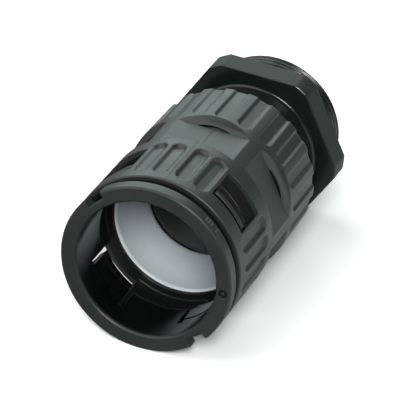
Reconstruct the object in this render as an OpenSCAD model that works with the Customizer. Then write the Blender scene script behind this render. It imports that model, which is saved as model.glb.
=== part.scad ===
// Straight liquidtight connector for corrugated conduit, lying on its side.
// The conduit goes in at the low Y end and the mounting thread is at the high Y end.
// Each part is drawn upright, its axis on Z from the mouth to the thread, and laid down last.
// Sizes are in millimetres.

/* [Conduit] */
// outside diameter of the conduit
conduit_d = 34.5; // [28:0.1:42.5]
// room around the conduit in the ring's mouth
mouth_play = 0.55; // [0.1:0.05:1]
// room around the conduit in the barrel's lip
lip_play = 0.25; // [0.1:0.05:1]

/* [Mounting thread] */
// outside diameter of the mounting thread
thread_d = 37; // [30:0.5:54]
// length of the threaded end behind the hexagon
thread_len = 9.9; // [7:0.1:16]
// chamfer on the threaded end
thread_chamfer = 0.8; // [0.2:0.1:1.6]
// least wall between the mounting thread and the passage
thread_wall = 4.5; // [2:0.1:8]

/* [Hexagon] */
// how far the hexagon's flats stand out from the mounting thread
hex_shoulder = 2.4; // [1:0.1:6]
// thickness of the hexagon
hex_t = 7.1; // [5:0.1:12]
// how far the turned corners stand out from the flats
hex_corner_over = 2.25; // [1:0.05:3]
// chamfer on the turned corners
hex_chamfer = 0.5; // [0.1:0.1:1]

/* [Neck and passage] */
// step from the closing thread down to the neck
neck_step = 2.4; // [1:0.1:3]
// least wall between the neck and the passage
neck_wall = 3.15; // [2:0.05:6]
// open length of the neck between the skirt and the hexagon
neck_open = 10.8; // [4:0.1:16]
// size of the sloped foot between the neck and the hexagon
neck_foot = 0.9; // [0.3:0.1:2]
// bevel at the front end of the passage
entry_bevel = 1.4; // [0.4:0.1:2]
// bevel at the threaded end of the passage
exit_bevel = 0.7; // [0.2:0.1:1.2]

/* [Closing thread] */
// step from the spigot up to the closing thread
closing_step = 1.1; // [0.6:0.1:2]
// radial play in the closing thread and at the spigot
closing_play = 0.05; // [0.02:0.01:0.1]
// lead-in at both ends of the closing thread
closing_lead = 0.6; // [0.2:0.1:1]
// depth of the groove at the closed end of the barrel's thread
relief_step = 0.45; // [0.3:0.05:1]
// width of that groove
relief_w = 3.2; // [2:0.1:5]
// length of the spigot in front of that groove
spigot_len = 2; // [0.4:0.1:3]
// distance from the groove's front to the hub's thread
closing_setback = 0.9; // [0.2:0.1:2]
// how far the skirt reaches past the hub's thread
skirt_cover = 1.6; // [0.5:0.1:4]

/* [Barrel] */
// wall around the front bore
front_wall = 2.2; // [1.8:0.1:4]
// chamfer on the barrel's front edge
barrel_chamfer = 0.3; // [0.2:0.1:1.2]
// chamfer on the skirt's rear edge
skirt_chamfer = 0.3; // [0.1:0.1:0.8]
// length of the skirt behind the wrench flats
skirt_len = 18.6; // [14:0.1:26]
// how much the skirt's radius shrinks towards its rear edge
skirt_taper = 0.15; // [0:0.05:0.5]
// room behind the claws when the ring is home
claw_room = 2.3; // [0.5:0.1:4]
// thickness of the lip in front of the seal
lip_t = 0.8; // [0.6:0.1:3]
// step from the lip out to the seal's seat
seat_step = 1; // [0.5:0.1:2]

/* [Windows] */
// room in front of a claw's hook before the ring is pushed home
window_lead = 2; // [0.2:0.1:3]
// room at each side of a claw
window_side = 0.7; // [0.3:0.1:1]
// direction of the first window, degrees to the right of straight up
window_turn = 45; // [30:1:60]

/* [Wrench flats] */
// wall between the seal's seat and a flat
flat_wall = 1.1; // [0.8:0.1:2]
// length of the flats along the axis
flat_len = 11.2; // [6:0.1:14]
// slope of the ramp from a flat up to the skirt, degrees
ramp_slope = 36; // [25:1:50]

/* [Grip flutes] */
// height of the flutes' rounding centre above the surface
flute_lift = 1.4; // [0.1:0.1:2]
// width of a front flute
front_flute_w = 4.1; // [2:0.1:4.4]
// depth of a front flute
front_flute_depth = 0.8; // [0.3:0.05:1]
// plain land in front of the front flutes
front_land = 2.8; // [1.5:0.1:5]
// plain land between the front flutes and the wrench flats
middle_land = 2.7; // [1:0.1:6]
// angle between the front flutes, degrees
front_flute_step = 13.3; // [11:0.1:15]
// angle from a parting line to the first flute on each side, degrees
front_flute_start = 7.7; // [6:0.1:9]
// number of flutes around the skirt
rear_flute_n = 22; // [12:1:24]
// width of a skirt flute
rear_flute_w = 3.8; // [2:0.1:5]
// depth of a skirt flute
rear_flute_depth = 0.6; // [0.2:0.1:0.9]
// plain land between the wrench flats and the skirt flutes
rear_land = 2.9; // [2:0.1:8]

/* [Locking ring] */
// thickness of the flange
flange_t = 3.4; // [2:0.1:5]
// chamfer on the flange's front edge
flange_chamfer = 0.4; // [0.1:0.1:1]
// chamfer on the flange's rear edge
flange_rear_chamfer = 0.2; // [0.1:0.1:1]
// chamfer around the mouth
mouth_chamfer = 0.4; // [0.1:0.1:1]
// how far the ring stands out before it is pushed home
ring_gap = 2.8; // [2:0.1:4]
// length of the sleeve behind the flange
sleeve_len = 10.9; // [9:0.1:14]
// wall of the sleeve
sleeve_wall = 1.65; // [1.3:0.05:3]
// radial play between the sleeve and the front bore
sleeve_play = 0.05; // [0.02:0.01:0.1]
// width of a rim notch for a screwdriver
notch_w = 5; // [2:0.1:8]
// depth of a rim notch
notch_depth = 2.3; // [1:0.1:3]
// radius of the gate's recess in the flange's face
gate_r = 1.2; // [0.5:0.1:1.8]
// depth of that recess
gate_depth = 0.4; // [0.1:0.1:1]
// radius of the dot left in the recess
gate_dot_r = 0.4; // [0.1:0.1:0.8]
// height of that dot
gate_dot_h = 0.3; // [0.1:0.1:0.6]

/* [Claws] */
// width of a claw
claw_w = 10.7; // [8:0.1:13]
// length of the slots that free a claw from the sleeve
claw_len = 7.3; // [5:0.1:9]
// width of those slots
slot_w = 1.2; // [0.4:0.1:1.6]
// height of the hook on a claw's outside
hook_h = 1.75; // [0.6:0.05:1.9]
// width of the hook
hook_w = 1.4; // [0.8:0.1:2]
// chamfer on the hook's two edges
hook_chamfer = 0.3; // [0.1:0.05:0.5]
// how far the claws reach past the sleeve
claw_over = 2.6; // [1:0.1:4]
// step down from the hook to the claw's back
claw_step = 0.5; // [0.4:0.1:1]
// how far the inside of that reach stands back from the mouth
claw_relief = 0.4; // [0.2:0.1:0.8]
// height of the pad on a claw's inside
pad_h = 0.2; // [0.1:0.05:0.3]
// length of the pad
pad_len = 5.3; // [3:0.1:6]
// length of the slopes at the pad's ends
pad_slope = 0.35; // [0.1:0.05:1]

/* [Seal ring] */
// length of the seal
seal_len = 13.6; // [8:0.1:16]
// radial play between the seal and its seat
seal_play = 0.05; // [0.02:0.01:0.1]
// rounding of the seal's front lip
seal_front_round = 0.75; // [0.4:0.05:1.2]
// radius of the bowl inside the seal
seal_bowl_r = 17; // [14:0.5:40]
// rounding of the seal's inner lip
seal_inner_round = 1.1; // [0.4:0.05:1.6]
// how far the seal's inner lip stands inside the passage
seal_cover = 0.25; // [0.1:0.05:1]

/* [Hidden] */
$fn = 96;
overcut = 1;

// Radii, from the conduit outwards.
mouth_r = conduit_d / 2 + mouth_play;
lip_r = conduit_d / 2 + lip_play;
seat_r = lip_r + seat_step;
sleeve_r = mouth_r + sleeve_wall;
claw_bore_r = sleeve_r + sleeve_play;
barrel_r = claw_bore_r + front_wall;
skirt_r = barrel_r - skirt_taper;
flange_r = barrel_r;
hook_r = sleeve_r + hook_h;
claw_back_r = hook_r - claw_step;
pad_r = mouth_r - pad_h;
flat_r = seat_r + flat_wall;
spigot_r = seat_r - closing_play;
closing_r = spigot_r + closing_step;
closing_bore_r = closing_r + closing_play;
relief_r = closing_bore_r + relief_step;
neck_r = closing_r - neck_step;
thread_r = thread_d / 2;
bore_r = min(neck_r - neck_wall, thread_r - thread_wall);
seal_r = seat_r - seal_play;
hex_r = thread_r + hex_shoulder;
hex_corner_r = hex_r + hex_corner_over;
rest_r = max(barrel_r, hex_r);

// Places along the axis, from the front of the flange.
barrel_front = flange_t + ring_gap;
sleeve_end = flange_t + sleeve_len;
slot_front = sleeve_end - claw_len;
hook_front = sleeve_end - hook_w;
window_front = hook_front - window_lead;
claw_end = sleeve_end + claw_over;
lip_front = claw_end + ring_gap + claw_room;
window_rear = lip_front;
seat_front = lip_front + lip_t;
hub_front = seat_front + seal_len;
relief_front = hub_front + spigot_len;
relief_rear = relief_front + relief_w;
flat_rear = relief_front;
flat_front = flat_rear - flat_len;
taper_front = flat_rear + rear_land / 2;
barrel_rear = flat_rear + skirt_len;
closing_front = relief_front + closing_setback;
closing_end = barrel_rear - skirt_cover;
hex_front = barrel_rear + neck_open;
hex_rear = hex_front + hex_t;
thread_end = hex_rear + thread_len;

// Lays an upright part on its side, with its own -Y side up and its middle at Y zero.
module laid() {
    translate([0, -thread_end / 2, rest_r])
        rotate([-90, 0, 0])
            children();
}

// Turns a feature drawn on the top side to the right by an angle.
module at_turn(angle) {
    rotate([0, 0, angle])
        children();
}

// A cutter on the top side, outside a radius: its width and its two places along the axis.
module top_box(width, from, to, radius) {
    translate([-width / 2, -radius - barrel_r, from])
        cube([width, barrel_r, to - from]);
}

// A cutter for a flute on the top side, with round ends and walls and a flat bottom.
module top_flute(width, from, to, surface_r, depth) {
    half = width / 2;
    round_r = norm([half, flute_lift]);
    intersection() {
        translate([0, -surface_r - flute_lift, from + half])
            union() {
                cylinder(r = round_r, h = to - from - width);
                sphere(r = round_r);
                translate([0, 0, to - from - width])
                    sphere(r = round_r);
            }
        top_box(3 * width, from - width, to + width, surface_r - depth);
    }
}

// A cutter for a wrench flat on the top side, with the ramp behind it.
module top_flat() {
    rise = 2 * (barrel_r - flat_r);
    translate([barrel_r, 0, 0])
        rotate([0, -90, 0])
            linear_extrude(2 * barrel_r)
                polygon([
                    [flat_front, -flat_r],
                    [flat_front, -flat_r - rise],
                    [flat_rear + rise / tan(ramp_slope), -flat_r - rise],
                    [flat_rear, -flat_r],
                ]);
}

// The hexagon, with its corners turned off.
module hexagon() {
    intersection() {
        translate([0, 0, hex_front])
            cylinder(h = hex_t, r = hex_r / cos(30), $fn = 6);
        rotate_extrude()
            polygon([
                [0, hex_front],
                [hex_corner_r - hex_chamfer, hex_front],
                [hex_corner_r, hex_front + hex_chamfer],
                [hex_corner_r, hex_rear - hex_chamfer],
                [hex_corner_r - hex_chamfer, hex_rear],
                [0, hex_rear],
            ]);
    }
}

// The passage for the cables, with a bevel at each end.
module passage() {
    rotate_extrude()
        polygon([
            [0, hub_front - overcut],
            [bore_r + entry_bevel, hub_front - overcut],
            [bore_r + entry_bevel, hub_front],
            [bore_r, hub_front + entry_bevel],
            [bore_r, thread_end - exit_bevel],
            [bore_r + exit_bevel, thread_end],
            [bore_r + exit_bevel, thread_end + overcut],
            [0, thread_end + overcut],
        ]);
}

// The hub: spigot, closing thread, neck, hexagon and mounting thread in one moulding.
module threaded_hub() {
    color([0.16, 0.17, 0.17])
        laid()
            difference() {
                union() {
                    hexagon();
                    rotate_extrude()
                        polygon([
                            [0, hub_front],
                            [spigot_r, hub_front],
                            [spigot_r, closing_front],
                            [closing_r - closing_lead, closing_front],
                            [closing_r, closing_front + closing_lead],
                            [closing_r, closing_end - closing_lead],
                            [closing_r - closing_lead, closing_end],
                            [neck_r, closing_end],
                            [neck_r, hex_front - neck_foot],
                            [neck_r + neck_foot, hex_front],
                            [0, hex_front],
                        ]);
                    rotate_extrude()
                        polygon([
                            [0, hex_rear],
                            [thread_r, hex_rear],
                            [thread_r, thread_end - thread_chamfer],
                            [thread_r - thread_chamfer, thread_end],
                            [0, thread_end],
                        ]);
                }
                passage();
            }
}

// The barrel as it would be turned, before its windows, flats and flutes.
module turned_barrel() {
    difference() {
        rotate_extrude()
            polygon([
                [0, barrel_front],
                [barrel_r - barrel_chamfer, barrel_front],
                [barrel_r, barrel_front + barrel_chamfer],
                [barrel_r, taper_front],
                [skirt_r, barrel_rear - skirt_chamfer],
                [skirt_r - skirt_chamfer, barrel_rear],
                [0, barrel_rear],
            ]);
        rotate_extrude()
            polygon([
                [0, barrel_front - overcut],
                [claw_bore_r, barrel_front - overcut],
                [claw_bore_r, lip_front],
                [lip_r, lip_front],
                [lip_r, seat_front],
                [seat_r, seat_front],
                [seat_r, relief_front],
                [relief_r, relief_front],
                [relief_r, relief_rear],
                [closing_bore_r, relief_rear],
                [closing_bore_r, barrel_rear - closing_lead],
                [closing_bore_r + closing_lead, barrel_rear],
                [closing_bore_r + closing_lead, barrel_rear + overcut],
                [0, barrel_rear + overcut],
            ]);
    }
}

// Four flutes between each two windows, two on each side of a parting line.
module front_flutes() {
    from = barrel_front + front_land;
    to = flat_front - middle_land;
    for (line = [0 : 3], side = [-1, 1], k = [0, 1])
        at_turn(line * 90 + side * (front_flute_start + k * front_flute_step))
            top_flute(front_flute_w, from, to, barrel_r, front_flute_depth);
}

// The skirt's flutes, which run out at its rear edge.
module rear_flutes() {
    from = flat_rear + rear_land;
    to = barrel_rear + 2 * rear_flute_w;
    for (k = [0 : rear_flute_n - 1])
        at_turn(k * 360 / rear_flute_n)
            top_flute(rear_flute_w, from, to, skirt_r, rear_flute_depth);
}

// The barrel: fluted grip with four windows, six wrench flats and a fluted skirt.
module barrel() {
    color([0.2, 0.21, 0.21])
        laid()
            difference() {
                turned_barrel();
                for (k = [0 : 3])
                    at_turn(window_turn + 90 * k)
                        top_box(claw_w + 2 * window_side, window_front, window_rear, lip_r / 2);
                for (k = [0 : 5])
                    at_turn(60 * k)
                        top_flat();
                front_flutes();
                rear_flutes();
            }
}

// The seal: a ring with a bowl inside, round at its front lip and at its inner lip.
module seal_ring() {
    steps = 12;
    seal_bore_r = bore_r - seal_cover;
    front_c = [seal_r - seal_front_round, seat_front + seal_front_round];
    inner_c = [seal_bore_r + seal_inner_round, hub_front - seal_inner_round];
    run = inner_c - front_c;
    along = run / norm(run);
    front_arm = seal_bowl_r + seal_front_round;
    inner_arm = seal_bowl_r + seal_inner_round;
    reach = (run * run + front_arm * front_arm - inner_arm * inner_arm) / (2 * norm(run));
    aside = sqrt(front_arm * front_arm - reach * reach);
    bowl_c = front_c + reach * along + aside * [-along[1], along[0]];
    from = atan2(front_c[1] - bowl_c[1], front_c[0] - bowl_c[0]);
    to = atan2(inner_c[1] - bowl_c[1], inner_c[0] - bowl_c[0]);
    bowl = [
        for (k = [0 : steps])
            let (turn = from + (to - from) * k / steps)
                bowl_c + seal_bowl_r * [cos(turn), sin(turn)]
    ];
    color([0.62, 0.65, 0.66])
        laid()
            union() {
                rotate_extrude()
                    polygon(concat(bowl, [
                        inner_c,
                        [inner_c[0], hub_front],
                        [seal_r, hub_front],
                        [seal_r, front_c[1]],
                        front_c,
                    ]));
                rotate_extrude()
                    translate(front_c)
                        circle(r = seal_front_round);
                rotate_extrude()
                    translate(inner_c)
                        circle(r = seal_inner_round);
            }
}

// The claws' reach with its hook, and the pad inside, as full rings that are cut to the claws later.
module claw_rings() {
    pad_front = sleeve_end - pad_len;
    rotate_extrude()
        polygon([
            [mouth_r + claw_relief, hook_front],
            [hook_r - hook_chamfer, hook_front],
            [hook_r, hook_front + hook_chamfer],
            [hook_r, sleeve_end - hook_chamfer],
            [hook_r - hook_chamfer, sleeve_end],
            [claw_back_r, sleeve_end],
            [claw_back_r, claw_end - hook_chamfer],
            [claw_back_r - hook_chamfer, claw_end],
            [mouth_r + claw_relief, claw_end],
        ]);
    rotate_extrude()
        polygon([
            [mouth_r, pad_front - pad_slope],
            [pad_r, pad_front],
            [pad_r, sleeve_end - pad_slope],
            [mouth_r, sleeve_end],
            [mouth_r + pad_h, sleeve_end],
            [mouth_r + pad_h, pad_front - pad_slope],
        ]);
}

// The flange and the sleeve behind it.
module flange_and_sleeve() {
    rotate_extrude()
        polygon([
            [mouth_r + mouth_chamfer, 0],
            [flange_r - flange_chamfer, 0],
            [flange_r, flange_chamfer],
            [flange_r, flange_t - flange_rear_chamfer],
            [flange_r - flange_rear_chamfer, flange_t],
            [sleeve_r, flange_t],
            [sleeve_r, sleeve_end],
            [mouth_r, sleeve_end],
            [mouth_r, mouth_chamfer],
        ]);
}

// The gate's recess in the middle of the flange's face, with the dot left in it.
module gate_recess() {
    translate([0, -(flange_r + mouth_r) / 2, 0])
        difference() {
            translate([0, 0, -overcut])
                cylinder(r = gate_r, h = overcut + gate_depth);
            translate([0, 0, gate_depth - gate_dot_h])
                cylinder(r = gate_dot_r, h = gate_dot_h + overcut);
        }
}

// The locking ring: flange, sleeve and four claws in one moulding.
module lock_ring() {
    past = claw_end + overcut;
    color([0.18, 0.19, 0.19])
        laid()
            difference() {
                union() {
                    flange_and_sleeve();
                    intersection() {
                        claw_rings();
                        union() {
                            for (k = [0 : 3])
                                at_turn(window_turn + 90 * k)
                                    top_box(claw_w, slot_front, past, 0);
                        }
                    }
                }
                for (k = [0 : 3], side = [-1, 1])
                    at_turn(window_turn + 90 * k)
                        translate([side * (claw_w + slot_w) / 2, 0, 0])
                            top_box(slot_w, slot_front, past, lip_r / 2);
                for (k = [0, 1])
                    at_turn(180 * k - window_turn)
                        top_box(notch_w, -overcut, flange_t, flange_r - notch_depth);
                at_turn(90)
                    gate_recess();
            }
}

threaded_hub();
barrel();
seal_ring();
lock_ring();
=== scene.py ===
"""Looks of the straight conduit connector: camera, light, materials and the detailed hub."""

import math

import bpy
from mathutils import Matrix, Vector


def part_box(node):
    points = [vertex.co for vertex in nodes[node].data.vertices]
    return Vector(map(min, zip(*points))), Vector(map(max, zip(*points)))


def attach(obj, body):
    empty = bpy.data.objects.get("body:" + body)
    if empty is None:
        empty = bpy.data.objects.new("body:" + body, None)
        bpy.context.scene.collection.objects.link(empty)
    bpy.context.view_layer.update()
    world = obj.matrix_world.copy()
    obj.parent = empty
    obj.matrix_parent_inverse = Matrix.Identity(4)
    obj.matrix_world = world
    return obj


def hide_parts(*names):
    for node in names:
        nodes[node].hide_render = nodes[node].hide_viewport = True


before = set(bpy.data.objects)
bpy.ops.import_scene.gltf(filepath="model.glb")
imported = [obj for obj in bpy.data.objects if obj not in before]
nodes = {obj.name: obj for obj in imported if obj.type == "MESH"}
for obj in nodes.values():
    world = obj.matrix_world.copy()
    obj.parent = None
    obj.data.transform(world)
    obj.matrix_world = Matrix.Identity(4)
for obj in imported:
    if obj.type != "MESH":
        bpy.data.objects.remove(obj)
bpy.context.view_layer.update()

MM = 0.001

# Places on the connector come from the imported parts: the axis and the ends of each part.
BARREL_LOW, BARREL_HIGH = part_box("barrel")
RING_LOW, RING_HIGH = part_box("lock_ring")
HUB_LOW, HUB_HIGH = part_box("threaded_hub")
AXIS_Z = (BARREL_LOW.z + BARREL_HIGH.z) / 2
BARREL_R = (BARREL_HIGH.z - BARREL_LOW.z) / 2
FRONT_Y = RING_LOW.y
BARREL_FRONT = BARREL_LOW.y
BARREL_REAR = BARREL_HIGH.y
HUB_FRONT = HUB_LOW.y
HUB_REAR = HUB_HIGH.y

# Sizes on the barrel and the ring that the materials follow
SKIRT_LENGTH = 15.7 * MM
RAMP_TOP = BARREL_REAR - SKIRT_LENGTH
FLUTED_HALF_ANGLE = math.radians(27.8)
LINE_LENGTH = 32 * MM
LINE_HALF = 0.11 * MM
SIDE_LINE_HALF = 0.2 * MM
TICK_ANGLES = (37, 39.2, 41.4, 46.5)
TICK_HALF_ANGLE = math.radians(0.42)
GATE_HALF = 1.3 * MM

# Sizes of the hub. The closing thread joins it to the barrel.
HEX_R = (HUB_HIGH.z - HUB_LOW.z) / 2
HEX_CORNER_R = (HUB_HIGH.x - HUB_LOW.x) / 2
HEX_THICK = 7.1 * MM
THREAD_LENGTH = 9.9 * MM
THREAD_R = 18.5 * MM
THREAD_PITCH = 25.4 * MM / 16
THREAD_DEPTH = 0.75 * MM
THREAD_CHAMFER = 0.8 * MM
CLOSING_R = 19.55 * MM
CLOSING_PITCH = 2.0 * MM
CLOSING_DEPTH = 0.8 * MM
CLOSING_CHAMFER = 0.6 * MM
CLOSING_SETBACK = 2.9 * MM
CLOSING_LENGTH = 16.1 * MM
SPIGOT_R = 18.45 * MM
SPIGOT_RIM = 0.35 * MM
NECK_R = 17.15 * MM
NECK_FOOT = 0.9 * MM
PASSAGE_R = 14.0 * MM
ENTRY_BEVEL = 1.4 * MM
EXIT_BEVEL = 0.7 * MM
HEX_EDGE = 0.25 * MM

HEX_REAR = HUB_REAR - THREAD_LENGTH
HEX_FRONT = HEX_REAR - HEX_THICK
CLOSING_FRONT = HUB_FRONT + CLOSING_SETBACK
CLOSING_END = CLOSING_FRONT + CLOSING_LENGTH

# Steps of the hub's mesh
FLAT_STEPS = 34
CORNER_STEPS = 6
FOOT_STEPS = 6
CLOSING_ROWS = 10
THREAD_ROWS = 12

# Colours, as the shader takes them
BARREL_GREY = (0.020, 0.025, 0.023)
RING_GREY = (0.020, 0.025, 0.023)
HUB_GREY = (0.006, 0.010, 0.008)
# Near-black painted shade inside the mouth, in the gap, on the claws, in the gate's recess and
# inside the barrel
PAINTED_SHADE_BLACK = (0.0015, 0.003, 0.0022)
# Painted light: the passage wall, paler as if lit through the bore
PASSAGE_PAINTED_LIGHT_GREY = (0.07, 0.08, 0.075)
# Paler edges: wear, and a painted highlight along the edges
WEAR_HIGHLIGHT_AND_MARK_GREY = (0.05, 0.056, 0.054)
SEAL_DARK = (0.60, 0.66, 0.68)
SEAL_PALE = (0.68, 0.74, 0.76)


# Camera

CAMERA_AIM = Vector((-0.86, -2.09, 19.08)) * MM
CAMERA_TURN = math.radians(18.3)
CAMERA_RISE = math.radians(30.33)
CAMERA_ROLL = math.radians(7.13)
CAMERA_AWAY = 0.785
CAMERA_LENS = 282.35


def make_camera():
    """The photograph's view: from the front right, above, with a long lens."""
    ahead = Vector((
        -math.sin(CAMERA_TURN) * math.cos(CAMERA_RISE),
        math.cos(CAMERA_TURN) * math.cos(CAMERA_RISE),
        -math.sin(CAMERA_RISE),
    ))
    data = bpy.data.cameras.new("camera")
    data.lens = CAMERA_LENS
    data.sensor_width = 36
    data.clip_start = 0.01
    data.clip_end = 20
    camera = bpy.data.objects.new("camera", data)
    turn = ahead.to_track_quat("-Z", "Y").to_matrix() @ Matrix.Rotation(CAMERA_ROLL, 3, "Z")
    camera.matrix_world = Matrix.Translation(CAMERA_AIM - ahead * CAMERA_AWAY) @ turn.to_4x4()
    bpy.context.scene.collection.objects.link(camera)
    bpy.context.scene.camera = camera


# Helpers for node trees

def add_node(tree, kind, inputs=None, **settings):
    node = tree.nodes.new(kind)
    for key, value in settings.items():
        setattr(node, key, value)
    for key, value in (inputs or {}).items():
        node.inputs[key].default_value = value
    return node


def map_range(tree, value, start, end, low, high, **settings):
    """A number that runs from low to high while the value runs from start to end."""
    limits = {"From Min": start, "From Max": end, "To Min": low, "To Max": high}
    node = add_node(tree, "ShaderNodeMapRange", limits, **settings)
    tree.links.new(value, node.inputs["Value"])
    return node.outputs["Result"]


def mix_shaders(tree, factor, first, second):
    mix = add_node(tree, "ShaderNodeMixShader")
    tree.links.new(factor, mix.inputs["Fac"])
    tree.links.new(first.outputs[0], mix.inputs[1])
    tree.links.new(second.outputs[0], mix.inputs[2])
    return mix


def combine(tree, operation, first, second):
    """The result of a Math node on two numbers, each a socket or a plain number."""
    node = add_node(tree, "ShaderNodeMath", operation=operation)
    for socket, value in zip(node.inputs, (first, second)):
        if isinstance(value, (int, float)):
            socket.default_value = value
        else:
            tree.links.new(value, socket)
    return node.outputs[0]


def product(tree, first, *others):
    for other in others:
        first = combine(tree, "MULTIPLY", first, other)
    return first


def largest(tree, first, *others):
    for other in others:
        first = combine(tree, "MAXIMUM", first, other)
    return first


def band(tree, value, centre, half, soft):
    """1 near a centre value and 0 beyond a half width, with soft ends."""
    off = combine(tree, "SUBTRACT", value, centre)
    size = combine(tree, "ABSOLUTE", off, 0)
    return map_range(
        tree, size, half - soft, half + soft, 1.0, 0.0, interpolation_type="SMOOTHSTEP"
    )


def between(tree, value, low, high, soft):
    """1 from a low to a high value and 0 outside, with soft ends."""
    return band(tree, value, (low + high) / 2, (high - low) / 2, soft)


def split(tree, place):
    """The X, Y and Z of a point, with its angle round the axis and its distance from it."""
    axes = add_node(tree, "ShaderNodeSeparateXYZ")
    tree.links.new(place, axes.inputs[0])
    x, y, z = axes.outputs["X"], axes.outputs["Y"], axes.outputs["Z"]
    up = combine(tree, "SUBTRACT", z, AXIS_Z)
    angle = combine(tree, "ARCTAN2", x, up)
    squares = combine(tree, "ADD", product(tree, x, x), product(tree, up, up))
    away = combine(tree, "SQRT", squares, 0)
    return x, y, z, angle, away


# Light and floor

FLOOR_WHITE = 1.36
FLOOR_SIZE = 3.0


def area_light(name, place, aim, width, height, watts, tint=(1, 1, 1)):
    data = bpy.data.lights.new(name, "AREA")
    data.shape = "RECTANGLE"
    data.size = width
    data.size_y = height
    data.energy = watts
    data.color = tint
    light = bpy.data.objects.new(name, data)
    place, aim = Vector(place), Vector(aim)
    light.location = place
    light.rotation_euler = (aim - place).to_track_quat("-Z", "Y").to_euler()
    light.visible_camera = False
    bpy.context.scene.collection.objects.link(light)
    return light


def floor_shading(tree):
    """White to the camera. To the connector, grey in front and white behind: the grey is painted
    shade, which the connector's front faces reflect.
    """
    place = add_node(tree, "ShaderNodeTexCoord").outputs["Object"]
    across = add_node(
        tree, "ShaderNodeVectorMath", {1: (0.85, 0.53, 0)}, operation="DOT_PRODUCT"
    )
    tree.links.new(place, across.inputs[0])
    unseen = add_node(tree, "ShaderNodeBsdfDiffuse")
    shade = map_range(tree, across.outputs["Value"], -0.03, 0.06, 0.3, 1.0)
    tree.links.new(shade, unseen.inputs["Color"])

    near = add_node(tree, "ShaderNodeBsdfDiffuse", {"Color": (*[FLOOR_WHITE] * 3, 1)})
    far = add_node(tree, "ShaderNodeEmission")
    away = add_node(tree, "ShaderNodeVectorMath", operation="LENGTH")
    tree.links.new(place, away.inputs[0])
    reach = map_range(
        tree, away.outputs["Value"], 0.12, 0.3, 0.0, 1.0, interpolation_type="SMOOTHSTEP"
    )
    seen = mix_shaders(tree, reach, near, far)
    ray = add_node(tree, "ShaderNodeLightPath")
    return mix_shaders(tree, ray.outputs["Is Camera Ray"], unseen, seen)


def make_floor():
    mesh = bpy.data.meshes.new("floor")
    corners = ((-1, -1), (1, -1), (1, 1), (-1, 1))
    mesh.from_pydata([(FLOOR_SIZE * x, FLOOR_SIZE * y, 0) for x, y in corners], [], [(0, 1, 2, 3)])
    floor = bpy.data.objects.new("floor", mesh)
    bpy.context.scene.collection.objects.link(floor)
    material = bpy.data.materials.new("floor_white")
    material.use_nodes = True
    tree = material.node_tree
    tree.nodes.remove(tree.nodes["Principled BSDF"])
    surface = tree.nodes["Material Output"].inputs["Surface"]
    tree.links.new(floor_shading(tree).outputs[0], surface)
    mesh.materials.append(material)


def make_world():
    """White to the camera. As light, a dim room that is paler behind the connector."""
    world = bpy.data.worlds.new("world")
    bpy.context.scene.world = world
    world.use_nodes = True
    tree = world.node_tree
    room = tree.nodes["Background"]
    room.inputs["Color"].default_value = (0.84, 1, 0.92, 1)
    place = add_node(tree, "ShaderNodeTexCoord")
    axes = add_node(tree, "ShaderNodeSeparateXYZ")
    tree.links.new(place.outputs["Generated"], axes.inputs[0])
    shade = map_range(tree, axes.outputs["Y"], -0.2, 0.7, 0.03, 0.17)
    tree.links.new(shade, room.inputs["Strength"])
    white = add_node(tree, "ShaderNodeBackground", {"Color": (1, 1, 1, 1)})
    ray = add_node(tree, "ShaderNodeLightPath")
    mix = mix_shaders(tree, ray.outputs["Is Camera Ray"], room, white)
    tree.links.new(mix.outputs[0], tree.nodes["World Output"].inputs["Surface"])


def make_light():
    """A card behind that shows in reflections only, and three soft lamps."""
    middle = (0, 0, AXIS_Z)
    card = area_light(
        "card_back", (-0.45, 0.95, 0.55), middle, 1.2, 0.7, 7.2, tint=(0.87, 1, 0.98)
    )
    card.visible_diffuse = False
    area_light("sky_top", (-0.8, -0.35, 0.95), (-0.3, 0, 0), 1.7, 1.7, 17)
    area_light("mouth_fill", (0.26, -0.78, 0.66), middle, 0.3, 0.3, 8)
    area_light("side_fill", (1.0, 0.1, 0.3), middle, 0.9, 0.5, 2.4)


# Places with a look of their own, and places where shade and light are painted, each as a mask or
# a height that depends on the place

def parting_lines(tree, place):
    """Height of the mould's parting lines: four fine lines along the barrel's front half."""
    x, y, z, angle, away = split(tree, place)
    upright = band(tree, x, 0.0, LINE_HALF, 0.05 * MM)
    level = band(tree, z, AXIS_Z, SIDE_LINE_HALF, 0.08 * MM)
    reach = between(tree, y, BARREL_FRONT, BARREL_FRONT + LINE_LENGTH, 0.2 * MM)
    return product(tree, largest(tree, upright, level), reach)


def ring_ticks(tree, place):
    """Height of the plain tick marks on the flange's side, where the ring's setting is read."""
    x, y, z, angle, away = split(tree, place)
    marks = [
        band(tree, angle, math.radians(turn), TICK_HALF_ANGLE, math.radians(0.15))
        for turn in TICK_ANGLES
    ]
    reach = between(tree, y, FRONT_Y + 1.15 * MM, FRONT_Y + 2.85 * MM, 0.1 * MM)
    return product(tree, largest(tree, *marks), reach)


def passage_wall(tree, place):
    """1 on the wall of the cable passage. The hub's material paints it paler there as painted
    light and makes it coarse.
    """
    x, y, z, angle, away = split(tree, place)
    return band(tree, away, 0.0, PASSAGE_R + 0.3 * MM, 0.1 * MM)


def coarse_hub(tree, place):
    """1 on the hexagon's flats, where the skin is coarse, and inside the passage."""
    x, y, z, angle, away = split(tree, place)
    flats = between(tree, y, HEX_FRONT + 0.25 * MM, HEX_REAR - 0.25 * MM, 0.1 * MM)
    return largest(tree, flats, passage_wall(tree, place))


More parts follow.
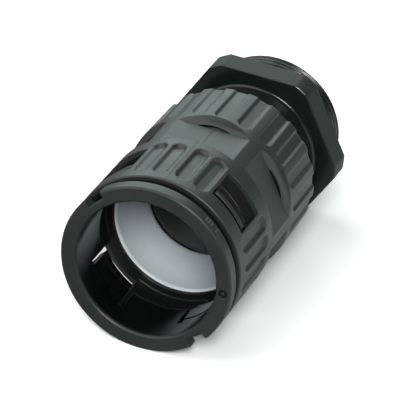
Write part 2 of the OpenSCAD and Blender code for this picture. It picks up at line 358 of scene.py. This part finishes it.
def ring_shaded_inside(tree, place):
    """1 inside the mouth, in the gap behind the flange, on the claws and in the gate's recess:
    painted shade, where the ring is coloured near-black and its roughness changes.
    """
    x, y, z, angle, away = split(tree, place)
    past_end = RING_HIGH.y + 2 * MM
    mouth = product(
        tree,
        between(tree, y, FRONT_Y + 1.0 * MM, past_end, 0.4 * MM),
        band(tree, away, 0.0, BARREL_R - 3.4 * MM, 0.2 * MM),
    )
    sleeve = product(
        tree,
        between(tree, y, FRONT_Y + 3.2 * MM, past_end, 0.1 * MM),
        band(tree, away, 0.0, BARREL_R - 0.9 * MM, 0.2 * MM),
    )
    gate = product(
        tree,
        between(tree, y, FRONT_Y + 0.16 * MM, FRONT_Y + 0.64 * MM, 0.03 * MM),
        band(tree, z, AXIS_Z, GATE_HALF, 0.05 * MM),
        between(tree, x, BARREL_R - 3.9 * MM, BARREL_R - 0.9 * MM, 0.05 * MM),
    )
    return largest(tree, mouth, gate, sleeve)


def barrel_shaded_inside(tree, place):
    """1 inside the barrel's front half, behind the windows and in the gap: painted shade, where
    the barrel is coloured near-black and its roughness changes.
    """
    x, y, z, angle, away = split(tree, place)
    front = band(tree, y, BARREL_FRONT, 17.5 * MM, 0.3 * MM)
    return product(tree, front, band(tree, away, 0.0, BARREL_R - 1.15 * MM, 0.15 * MM))


def barrel_rounding(tree, place):
    """Radius of the barrel's moulded edges: fine in general, wide on flutes and ramps."""
    x, y, z, angle, away = split(tree, place)
    swing = combine(tree, "PINGPONG", angle, math.radians(45))
    beside = band(tree, swing, 0.0, FLUTED_HALF_ANGLE, math.radians(0.8))
    front = between(tree, y, FRONT_Y + 7.7 * MM, FRONT_Y + 25.7 * MM, 0.5 * MM)
    skirt = band(tree, y, BARREL_REAR, SKIRT_LENGTH + 1.0 * MM, 0.6 * MM)
    ramps = band(tree, y, RAMP_TOP, 1.6 * MM, 0.6 * MM)
    flutes = largest(tree, product(tree, front, beside), skirt)
    wide = largest(tree, product(tree, flutes, 0.5 * MM), product(tree, ramps, 1.0 * MM))
    return combine(tree, "ADD", wide, 0.35 * MM)


def ramp_blend(tree, place):
    """How far the ramps behind the flats turn into the skirt's round, 0 to 1."""
    x, y, z, angle, away = split(tree, place)
    rise = map_range(
        tree, y, RAMP_TOP - 2.6 * MM, RAMP_TOP - 0.4 * MM, 0.0, 0.85,
        interpolation_type="SMOOTHSTEP",
    )
    fall = between(tree, y, RAMP_TOP - 5.0 * MM, RAMP_TOP + 1.0 * MM, 0.5 * MM)
    return product(tree, rise, fall)


# Materials

def new_material(name):
    material = bpy.data.materials.new(name)
    material.use_nodes = True
    return material, material.node_tree, material.node_tree.nodes["Principled BSDF"]


def rounded_normal(tree, place, radius):
    """The normal with rounded edges. The radius is a number or a function of the place."""
    edge = add_node(tree, "ShaderNodeBevel", samples=6)
    if callable(radius):
        tree.links.new(radius(tree, place), edge.inputs["Radius"])
    else:
        edge.inputs["Radius"].default_value = radius
    return edge.outputs["Normal"]


def turned_outward(tree, place, normal, amount):
    """The normal, turned by an amount of 0 to 1 into the direction away from the axis."""
    link = tree.links.new
    off_axis = add_node(tree, "ShaderNodeVectorMath", {1: (0, 0, AXIS_Z)}, operation="SUBTRACT")
    link(place, off_axis.inputs[0])
    outward = add_node(tree, "ShaderNodeVectorMath", {1: (1, 0, 1)}, operation="MULTIPLY")
    link(off_axis.outputs[0], outward.inputs[0])
    turned = add_node(
        tree, "ShaderNodeVectorTransform",
        vector_type="NORMAL", convert_from="OBJECT", convert_to="WORLD",
    )
    link(outward.outputs[0], turned.inputs[0])
    blend = add_node(tree, "ShaderNodeMix", data_type="VECTOR")
    link(amount, blend.inputs["Factor"])
    link(normal, blend.inputs[4])
    link(turned.outputs[0], blend.inputs[5])
    unit = add_node(tree, "ShaderNodeVectorMath", operation="NORMALIZE")
    link(blend.outputs[1], unit.inputs[0])
    return unit.outputs[0]


def edge_wear_and_highlight(tree, normal):
    """0 on plain surfaces, up to 1 where the rounded normal leaves the true one. These edges are
    lightened, as wear and as a painted highlight.
    """
    shape = add_node(tree, "ShaderNodeNewGeometry")
    bend = add_node(tree, "ShaderNodeVectorMath", operation="DOT_PRODUCT")
    tree.links.new(normal, bend.inputs[0])
    tree.links.new(shape.outputs["True Normal"], bend.inputs[1])
    return map_range(tree, bend.outputs["Value"], 0.99, 0.8, 0.0, 1.0)


def mix_colour(tree, factor, first, second):
    """A colour socket mixed with a fixed colour."""
    mix = add_node(tree, "ShaderNodeMix", {"B": (*second, 1)}, data_type="RGBA")
    tree.links.new(factor, mix.inputs["Factor"])
    tree.links.new(first, mix.inputs["A"])
    return mix.outputs["Result"]


def colour_ramp(tree, factor, dark, pale, start=0.0, end=1.0):
    ramp = add_node(tree, "ShaderNodeValToRGB")
    for element, position, colour in zip(ramp.color_ramp.elements, (start, end), (dark, pale)):
        element.position = position
        element.color = (*colour, 1)
    tree.links.new(factor, ramp.inputs["Fac"])
    return ramp.outputs["Color"]


def bump(tree, height, strength, distance, normal=None):
    """The normal with a relief. The strength is a number or a socket."""
    node = add_node(tree, "ShaderNodeBump", {"Distance": distance})
    if isinstance(strength, float):
        node.inputs["Strength"].default_value = strength
    else:
        tree.links.new(strength, node.inputs["Strength"])
    tree.links.new(height, node.inputs["Height"])
    if normal:
        tree.links.new(normal, node.inputs["Normal"])
    return node.outputs["Normal"]


def moulded_plastic(
    name, colour, coarse, light_and_shade_patch, light_and_shade_colour, rough=0.42, grain=0.05, gloss=0.5,
    soft_edge=0.35 * MM, coarse_rough=0.6, coarse_grain=1.0, relief=None, marks=0.0,
    round_off=None,
):
    """Dark moulded plastic: grained skin, faint flow marks, softened and polished edges, lightened
    as wear and as a painted highlight.

    coarse is a mask for another roughness, and the patch mask gives another colour, which is
    painted shade in the barrel's and ring's hollows and painted light on the hub's passage wall.
    relief is a height, marks is how pale the relief is, and round_off turns the normal away from
    the axis.
    """
    material, tree, shader = new_material(name)
    link = tree.links.new
    place = add_node(tree, "ShaderNodeTexCoord").outputs["Object"]
    fine = add_node(tree, "ShaderNodeTexNoise", {"Scale": 2600.0, "Detail": 2.0})
    flow = add_node(tree, "ShaderNodeTexNoise", {"Scale": 90.0, "Detail": 5.0, "Roughness": 0.6})
    link(place, fine.inputs["Vector"])
    link(place, flow.inputs["Vector"])
    flow = flow.outputs["Fac"]

    normal = rounded_normal(tree, place, soft_edge)
    # Edges lightened as wear and as a painted highlight, joined by the pale tick marks
    pale_edges_and_marks = product(tree, edge_wear_and_highlight(tree, normal), flow)
    if marks:
        pale_edges_and_marks = largest(tree, pale_edges_and_marks, product(tree, relief(tree, place), marks))
    if round_off:
        normal = turned_outward(tree, place, normal, round_off(tree, place))

    dark, pale = [c * 0.84 for c in colour], [c * 1.14 for c in colour]
    skin = colour_ramp(tree, flow, dark, pale, start=0.3, end=0.7)
    skin = mix_colour(tree, pale_edges_and_marks, skin, WEAR_HIGHLIGHT_AND_MARK_GREY)
    # The patch mask paints its colour: shade on the barrel and the ring, light on the hub's
    # passage wall
    skin = mix_colour(tree, light_and_shade_patch(tree, place), skin, light_and_shade_colour)
    link(skin, shader.inputs["Base Color"])

    mask = coarse(tree, place)
    shine = map_range(tree, flow, 0.3, 0.7, rough - 0.05, rough + 0.06)
    roughness = add_node(tree, "ShaderNodeMix", {"B": coarse_rough}, data_type="FLOAT")
    link(mask, roughness.inputs["Factor"])
    link(combine(tree, "SUBTRACT", shine, product(tree, pale_edges_and_marks, 0.2)), roughness.inputs["A"])
    link(roughness.outputs["Result"], shader.inputs["Roughness"])

    strength = largest(tree, product(tree, mask, coarse_grain), grain)
    normal = bump(tree, fine.outputs["Fac"], strength, 0.1 * MM, normal)
    if relief:
        normal = bump(tree, relief(tree, place), 0.8, 0.1 * MM, normal)
    link(normal, shader.inputs["Normal"])
    shader.inputs["Specular IOR Level"].default_value = gloss
    return material


def seal_elastomer(name):
    """Light grey soft plastic, smooth and slightly glossy."""
    material, tree, shader = new_material(name)
    place = add_node(tree, "ShaderNodeTexCoord").outputs["Object"]
    cloud = add_node(tree, "ShaderNodeTexNoise", {"Scale": 160.0, "Detail": 4.0})
    tree.links.new(place, cloud.inputs["Vector"])
    cloud = cloud.outputs["Fac"]
    tint = colour_ramp(tree, cloud, SEAL_DARK, SEAL_PALE)
    tree.links.new(tint, shader.inputs["Base Color"])
    tree.links.new(bump(tree, cloud, 0.08, 0.1 * MM), shader.inputs["Normal"])
    shader.inputs["Roughness"].default_value = 0.3
    return material


def paint(obj, material):
    """Puts one material in every slot of a part."""
    if not obj.material_slots:
        obj.data.materials.append(material)
    for slot in obj.material_slots:
        slot.material = material


def paint_parts():
    # The barrel and the ring are painted near-black inside, as shade
    paint(nodes["barrel"], moulded_plastic(
        "barrel_skin", BARREL_GREY, barrel_shaded_inside, barrel_shaded_inside, PAINTED_SHADE_BLACK,
        soft_edge=barrel_rounding, coarse_rough=0.45, coarse_grain=0.01,
        relief=parting_lines, round_off=ramp_blend,
    ))
    paint(nodes["lock_ring"], moulded_plastic(
        "ring_skin", RING_GREY, ring_shaded_inside, ring_shaded_inside, PAINTED_SHADE_BLACK,
        rough=0.4, gloss=0.36, coarse_rough=0.17, coarse_grain=0.01,
        relief=ring_ticks, marks=1.0,
    ))
    paint(nodes["seal_ring"], seal_elastomer("seal_skin"))


# The hub, rebuilt with its threads cut

def hub_angles():
    """Angles round the hub from straight up, spread evenly on each flat and each corner."""
    half = math.acos(HEX_R / HEX_CORNER_R)
    corner = math.radians(60) - 2 * half
    angles = []
    for side in range(6):
        start = math.radians(60) * side - half
        angles += [start + 2 * half * i / FLAT_STEPS for i in range(FLAT_STEPS)]
        angles += [start + 2 * half + corner * i / CORNER_STEPS for i in range(CORNER_STEPS)]
    return angles


def hex_radius(angle, inset):
    """Radius of the hexagon with turned corners at an angle, drawn in by an inset."""
    step = math.radians(60)
    off = (angle + step / 2) % step - step / 2
    return min((HEX_R - inset) / math.cos(off), HEX_CORNER_R - inset)


def thread_height(turns, flank=0.36, crest=0.14):
    """Height of a thread, 0 to 1, at a number of turns along it."""
    off = abs(turns % 1.0 - 0.5)
    t = (flank + crest / 2 - off) / flank
    t = min(max(t, 0.0), 1.0)
    return t * t * (3 - 2 * t)


def thread_rows(start, end, pitch, crest_r, depth, rows_per_pitch, lead, fade):
    """Rows (y, radius function) of a right-hand thread.

    lead is the chamfer at its end. With a fade the thread grows out of its root over that
    length, and without one it starts with the same chamfer.
    """
    count = int((end - start) / pitch * rows_per_pitch)
    rows = []
    for i in range(count + 1):
        y = start + (end - start) * i / count

        def radius(angle, y=y):
            height = thread_height((y - start) / pitch + angle / math.tau)
            height *= min(1.0, (y - start) / fade + 0.05) if fade > 0 else 1.0
            r = crest_r - depth + depth * height
            limit = crest_r - max(0.0, lead - (end - y))
            if fade <= 0:
                limit = min(limit, crest_r - max(0.0, lead - (y - start)))
            return min(r, limit)

        rows.append((y, radius))
    return rows


def circle_row(y, r):
    return (y, lambda angle: r)


def hex_row(y, inset):
    return (y, lambda angle: hex_radius(angle, inset))


def hub_rows():
    """The hub's whole outline as rings, from the passage's front over the outside and back."""
    rows = [
        circle_row(HUB_FRONT + ENTRY_BEVEL, PASSAGE_R),
        circle_row(HUB_FRONT + 0.1 * MM, PASSAGE_R + ENTRY_BEVEL - 0.1 * MM),
        circle_row(HUB_FRONT, PASSAGE_R + ENTRY_BEVEL),
        circle_row(HUB_FRONT, SPIGOT_R - SPIGOT_RIM),
        circle_row(HUB_FRONT + SPIGOT_RIM, SPIGOT_R),
        circle_row(CLOSING_FRONT - 0.05 * MM, SPIGOT_R),
    ]
    rows += thread_rows(
        CLOSING_FRONT, CLOSING_END, CLOSING_PITCH, CLOSING_R, CLOSING_DEPTH, CLOSING_ROWS,
        CLOSING_CHAMFER, 0.0,
    )
    rows += [
        circle_row(CLOSING_END + 0.02 * MM, NECK_R + 0.3 * MM),
        circle_row(CLOSING_END + 0.3 * MM, NECK_R),
    ]
    for i in range(FOOT_STEPS + 1):
        turn = math.radians(90) * i / FOOT_STEPS
        rows.append(circle_row(
            HEX_FRONT - NECK_FOOT + NECK_FOOT * math.sin(turn),
            NECK_R + NECK_FOOT * (1 - math.cos(turn)),
        ))
    rows += [
        hex_row(HEX_FRONT, HEX_EDGE * 1.6),
        hex_row(HEX_FRONT + 0.3 * HEX_EDGE, HEX_EDGE * 0.7),
        hex_row(HEX_FRONT + HEX_EDGE, 0.0),
        hex_row(HEX_REAR - HEX_EDGE, 0.0),
        hex_row(HEX_REAR - 0.3 * HEX_EDGE, HEX_EDGE * 0.7),
        hex_row(HEX_REAR, HEX_EDGE * 1.6),
    ]
    rows += thread_rows(
        HEX_REAR + 0.02 * MM, HUB_REAR, THREAD_PITCH, THREAD_R, THREAD_DEPTH, THREAD_ROWS,
        THREAD_CHAMFER, THREAD_PITCH,
    )
    rows += [
        circle_row(HUB_REAR, PASSAGE_R + EXIT_BEVEL),
        circle_row(HUB_REAR - EXIT_BEVEL, PASSAGE_R),
    ]
    return rows


def ring_mesh(name, rows, angles):
    """A closed mesh from rings (y, radius function) round the connector's axis."""
    verts = []
    for y, radius in rows:
        for angle in angles:
            r = radius(angle)
            verts.append((r * math.sin(angle), y, AXIS_Z + r * math.cos(angle)))
    around = len(angles)
    faces = []
    for i in range(len(rows)):
        j = (i + 1) % len(rows)
        for k in range(around):
            n = (k + 1) % around
            faces.append((i * around + k, i * around + n, j * around + n, j * around + k))
    mesh = bpy.data.meshes.new(name)
    mesh.from_pydata(verts, [], faces)
    mesh.update()
    mesh.polygons.foreach_set("use_smooth", [True] * len(faces))
    mesh.set_sharp_from_angle(angle=math.radians(32))
    obj = bpy.data.objects.new(name, mesh)
    bpy.context.scene.collection.objects.link(obj)
    return obj


def make_hub():
    hub = ring_mesh("hub_with_threads", hub_rows(), hub_angles())
    # The hub's passage wall is painted paler, as light
    paint(hub, moulded_plastic(
        "hub_skin", HUB_GREY, coarse_hub, passage_wall, PASSAGE_PAINTED_LIGHT_GREY,
        rough=0.22, grain=0.02, gloss=0.42, soft_edge=0.2 * MM,
    ))
    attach(hub, "hub")
    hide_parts("threaded_hub")


bpy.context.scene.view_settings.view_transform = "Standard"
make_camera()
make_floor()
make_world()
make_light()
paint_parts()
make_hub()
